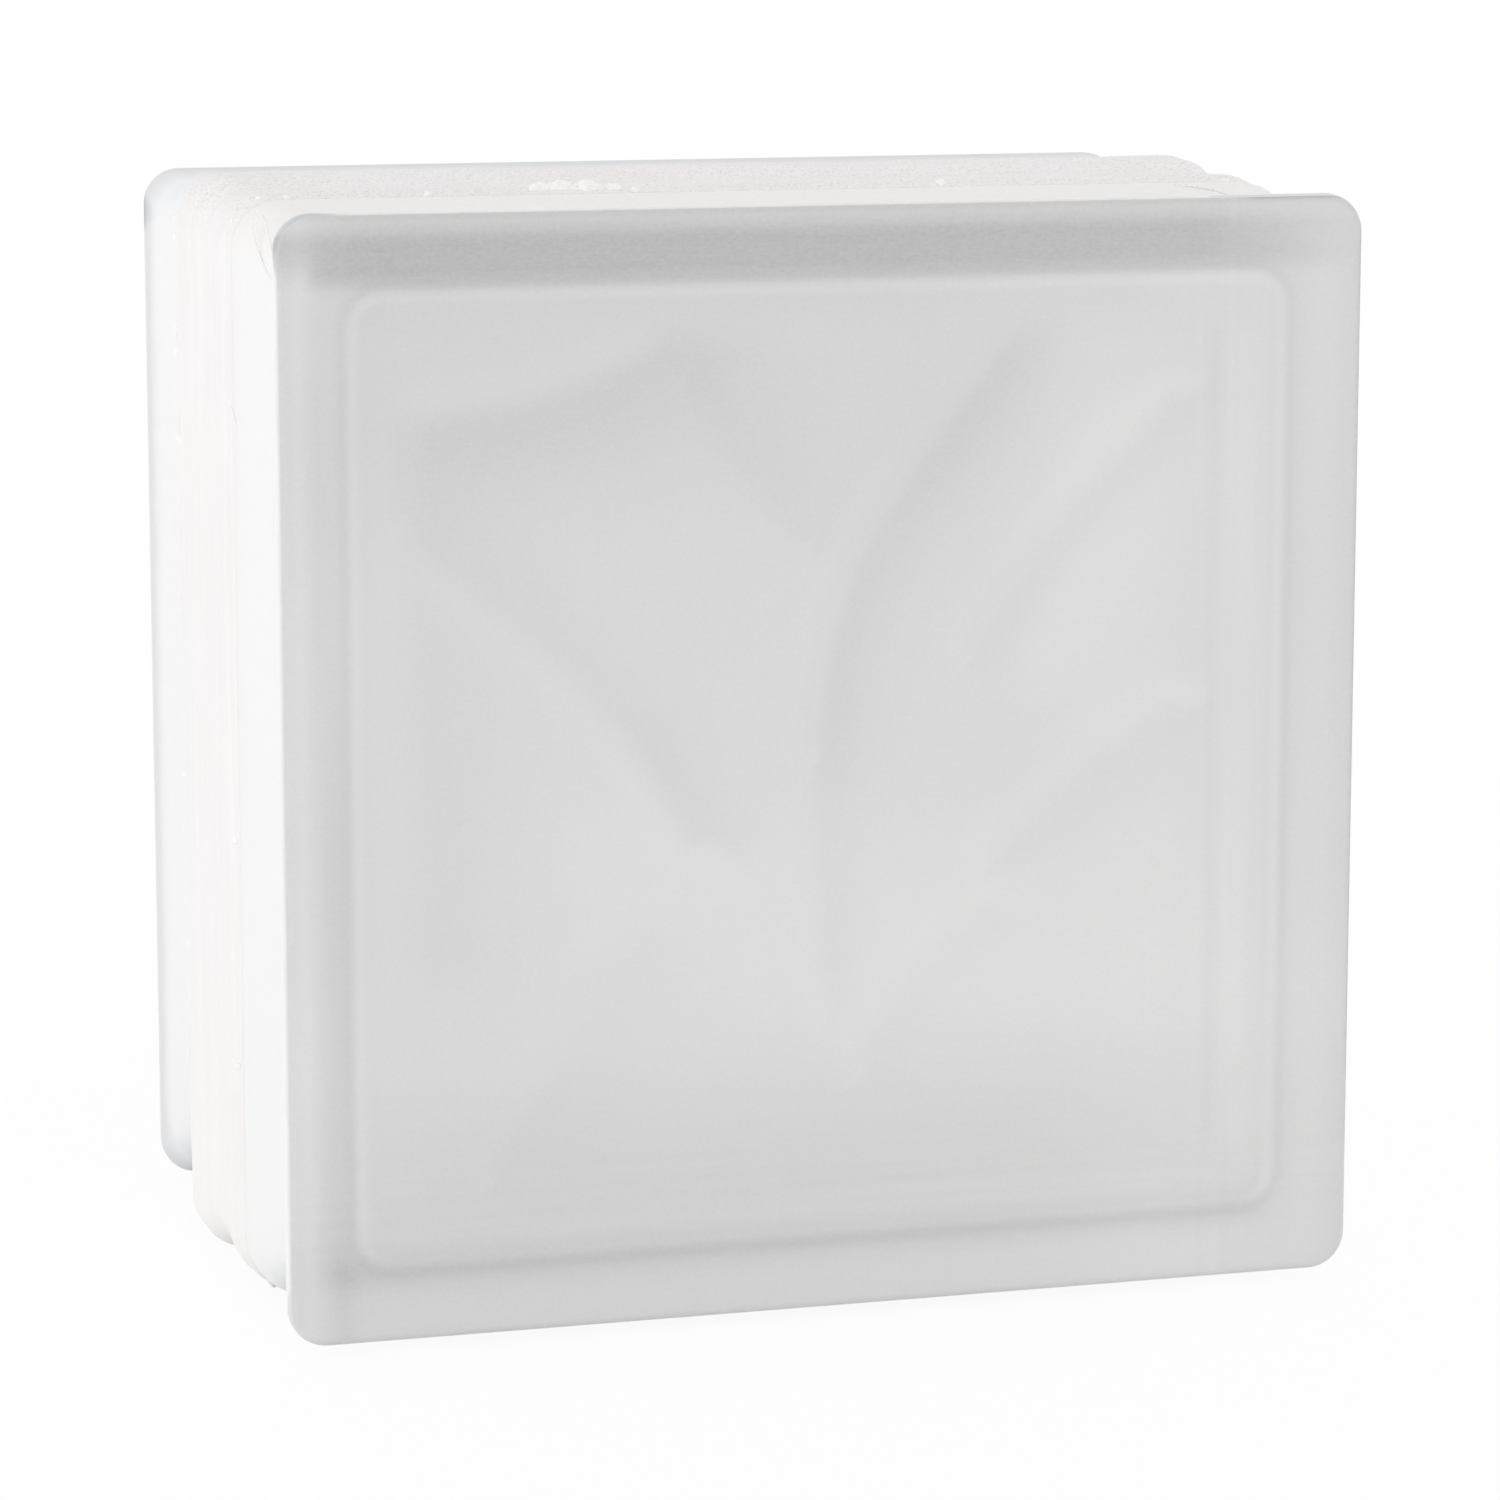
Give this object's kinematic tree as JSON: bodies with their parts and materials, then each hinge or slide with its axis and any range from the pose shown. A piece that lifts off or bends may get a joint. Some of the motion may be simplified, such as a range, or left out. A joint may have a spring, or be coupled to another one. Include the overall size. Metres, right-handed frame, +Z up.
{
  "type": "glass block",
  "caption": "Hollow square glass block for a masonry wall: two satin pressed halves with an inner wave relief, fused at the middle and coated round the joint",
  "frame": {"origin": "on the floor, under the middle of the block", "axes": "+Y from the front face to the rear face, +X to the right seen from the front, +Z up"},
  "size_m": [0.149, 0.098, 0.149],
  "materials": {
    "front_half_shell": "satin",
    "rear_half_shell": "satin",
    "edge_coating": "matte, trowelled"
  },
  "bodies": {
    "root": {"front_half_shell": "front_half_shell", "rear_half_shell": "rear_half_shell", "edge_coating": "edge_coating"}
  },
  "joints": []
}
